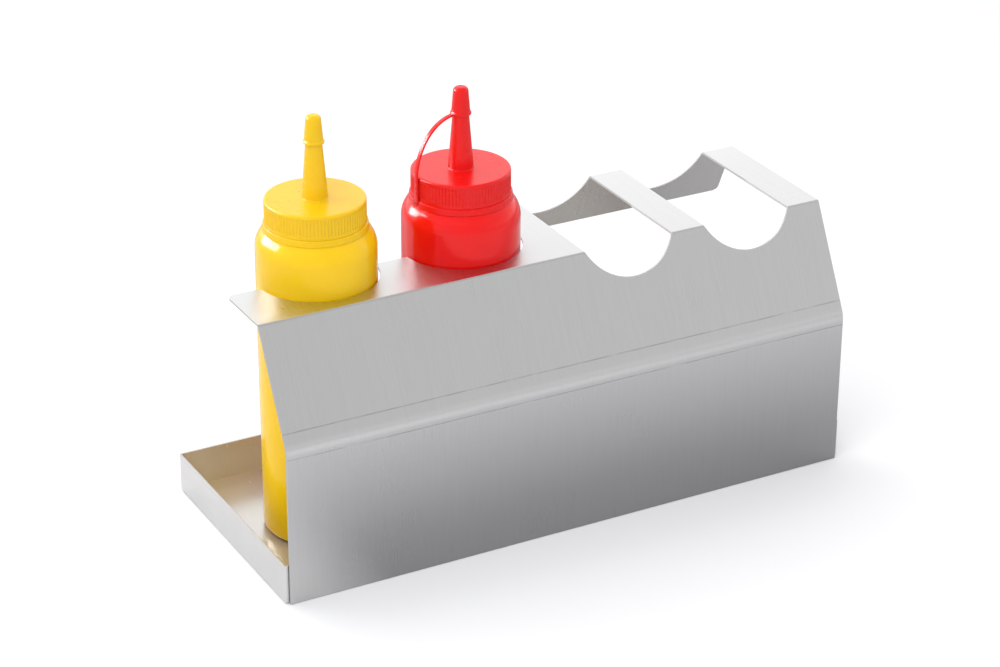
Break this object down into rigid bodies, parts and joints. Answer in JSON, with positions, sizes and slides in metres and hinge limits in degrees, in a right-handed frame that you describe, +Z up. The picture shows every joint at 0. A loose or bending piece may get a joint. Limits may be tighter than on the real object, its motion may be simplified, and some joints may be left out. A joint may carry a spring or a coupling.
{
  "type": "hot dog and sauce bottle counter stand",
  "caption": "Folded stainless steel counter stand with cradles for hot dogs, a drip tray and squeeze bottles with screw caps and tethered tip caps.",
  "frame": {"origin": "on the counter, at the middle of the tray's footprint", "axes": "+Z up, +X along the stand from the bottles to the hot-dog cradles, -Y the front"},
  "size_m": [0.379, 0.154, 0.262],
  "materials": {
    "shell_steel": "fine brushed, satin",
    "tray_steel": "fine brushed, brighter inside",
    "mustard_bottle_plastic": "glossy, slightly translucent polyethylene",
    "mustard_cap_plastic": "satin moulded plastic",
    "ketchup_bottle_plastic": "glossy, slightly translucent polyethylene",
    "ketchup_cap_plastic": "satin moulded plastic"
  },
  "bodies": {
    "stand": {"front_shell": "shell_steel", "drip_tray": "tray_steel"},
    "mustard_bottle_body": {"mustard_bottle": "mustard_bottle_plastic"},
    "mustard_tether_body": {"mustard_neck_ring": "mustard_cap_plastic", "mustard_strap": "mustard_cap_plastic"},
    "mustard_cap_body": {"mustard_screw_cap": "mustard_cap_plastic"},
    "mustard_tip_body": {"mustard_tip_cap": "mustard_cap_plastic"},
    "ketchup_bottle_body": {"ketchup_bottle": "ketchup_bottle_plastic"},
    "ketchup_tether_body": {"ketchup_neck_ring": "ketchup_cap_plastic", "ketchup_strap": "ketchup_cap_plastic"},
    "ketchup_cap_body": {"ketchup_screw_cap": "ketchup_cap_plastic"},
    "ketchup_tip_body": {"ketchup_tip_cap": "ketchup_cap_plastic"}
  },
  "joints": [
    {"name": "mustard_bottle_lift", "type": "slide", "parent": "stand", "child": "mustard_bottle_body", "axis": [0, 0, 1], "range_m": [0, 0.17]},
    {"name": "mustard_cap_rise", "type": "slide", "parent": "mustard_bottle_body", "child": "mustard_tether_body", "axis": [0, 0, 1], "range_m": [0, 0.006]},
    {"name": "mustard_cap_turn", "type": "hinge", "parent": "mustard_tether_body", "child": "mustard_cap_body", "pos_m": [-0.1296, 0.001, 0.2], "axis": [0, 0, 1], "range_deg": [0, 540]},
    {"name": "mustard_tip_pull", "type": "slide", "parent": "mustard_tether_body", "child": "mustard_tip_body", "axis": [0, 0, 1], "range_m": [0, 0.014], "deforming": ["mustard_strap"]},
    {"name": "ketchup_bottle_lift", "type": "slide", "parent": "stand", "child": "ketchup_bottle_body", "axis": [0, 0, 1], "range_m": [0, 0.17]},
    {"name": "ketchup_cap_rise", "type": "slide", "parent": "ketchup_bottle_body", "child": "ketchup_tether_body", "axis": [0, 0, 1], "range_m": [0, 0.006]},
    {"name": "ketchup_cap_turn", "type": "hinge", "parent": "ketchup_tether_body", "child": "ketchup_cap_body", "pos_m": [-0.0359, 0.001, 0.2], "axis": [0, 0, 1], "range_deg": [0, 540]},
    {"name": "ketchup_tip_pull", "type": "slide", "parent": "ketchup_tether_body", "child": "ketchup_tip_body", "axis": [0, 0, 1], "range_m": [0, 0.014], "deforming": ["ketchup_strap"]}
  ],
  "couplings": [
    {"joint": "mustard_cap_rise", "follows": "mustard_cap_turn", "m_per_rad": 0.0006366},
    {"joint": "ketchup_cap_rise", "follows": "ketchup_cap_turn", "m_per_rad": 0.0006366}
  ]
}
